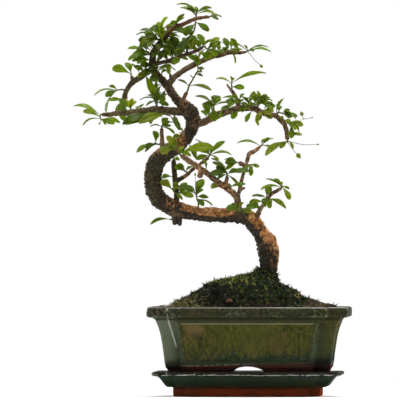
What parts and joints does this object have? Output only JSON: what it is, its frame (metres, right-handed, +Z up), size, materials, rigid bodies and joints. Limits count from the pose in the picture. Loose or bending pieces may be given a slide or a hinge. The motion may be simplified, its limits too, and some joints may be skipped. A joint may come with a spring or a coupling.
{
  "type": "potted bonsai tree",
  "caption": "Small S-shaped bonsai tree with mossy mound in an oblong glazed pot with indented corners, standing on a matching saucer.",
  "frame": {"origin": "on the saucer's flat underside, under the middle of the pot", "axes": "+Z up, +X to the right along the pot's long side, -Y towards the viewer of the picture"},
  "size_m": [0.2753, 0.15, 0.3928],
  "materials": {
    "olive_glaze": "gloss",
    "dark_glaze": "gloss",
    "soil": "matte",
    "moss": "matte",
    "bark": "matte",
    "net_plastic": "matte",
    "leaf_dark": "satin",
    "leaf_bright": "satin",
    "leaf_young": "satin"
  },
  "bodies": {
    "root": {"drain_screen_left": "net_plastic", "drain_screen_right": "net_plastic", "moss": "moss", "pot": "olive_glaze", "saucer": "dark_glaze", "soil": "soil", "spray_crown_arched": "leaf_dark", "spray_crown_core": "leaf_dark", "spray_crown_hanging": "leaf_dark", "spray_crown_layers": "leaf_dark", "spray_crown_left_fan": "leaf_dark", "spray_crown_left_hang": "leaf_bright", "spray_crown_left_low": "leaf_dark", "spray_crown_mass": "leaf_bright", "spray_crown_olive": "leaf_bright", "spray_crown_star": "leaf_bright", "spray_crown_tip": "leaf_dark", "spray_crown_upright": "leaf_bright", "spray_crown_young": "leaf_young", "spray_elbow_right": "leaf_bright", "spray_fork_tuft": "leaf_dark", "spray_inner_dark_end": "leaf_bright", "spray_inner_dark_mid": "leaf_bright", "spray_inner_dark_star": "leaf_bright", "spray_inner_end": "leaf_bright", "spray_inner_far_left": "leaf_bright", "spray_inner_knob_pair": "leaf_dark", "spray_inner_left_star": "leaf_dark", "spray_inner_right_tip": "leaf_bright", "spray_inner_right_tuft": "leaf_dark", "spray_inner_top": "leaf_dark", "spray_left_big": "leaf_bright", "spray_left_broad": "leaf_bright", "spray_left_end": "leaf_bright", "spray_left_green_shoot": "leaf_bright", "spray_left_knob_fan": "leaf_bright", "spray_left_middle": "leaf_dark", "spray_left_rise": "leaf_young", "spray_left_top_pair": "leaf_bright", "spray_low_left": "leaf_dark", "spray_low_right_first": "leaf_dark", "spray_low_right_middle": "leaf_dark", "spray_low_right_tip": "leaf_bright", "spray_middle_spray": "leaf_dark", "spray_right_corner": "leaf_bright", "spray_right_crest": "leaf_dark", "spray_right_end": "leaf_bright", "spray_right_middle": "leaf_dark", "spray_right_near": "leaf_dark", "spray_right_skirt": "leaf_bright", "spray_right_stem": "leaf_bright", "spray_right_twig_top": "leaf_bright", "spray_shoulder_low": "leaf_dark", "spray_shoulder_tip": "leaf_bright", "spray_top_right_fan": "leaf_bright", "spray_top_right_tip": "leaf_dark", "wood": "bark"}
  },
  "joints": []
}
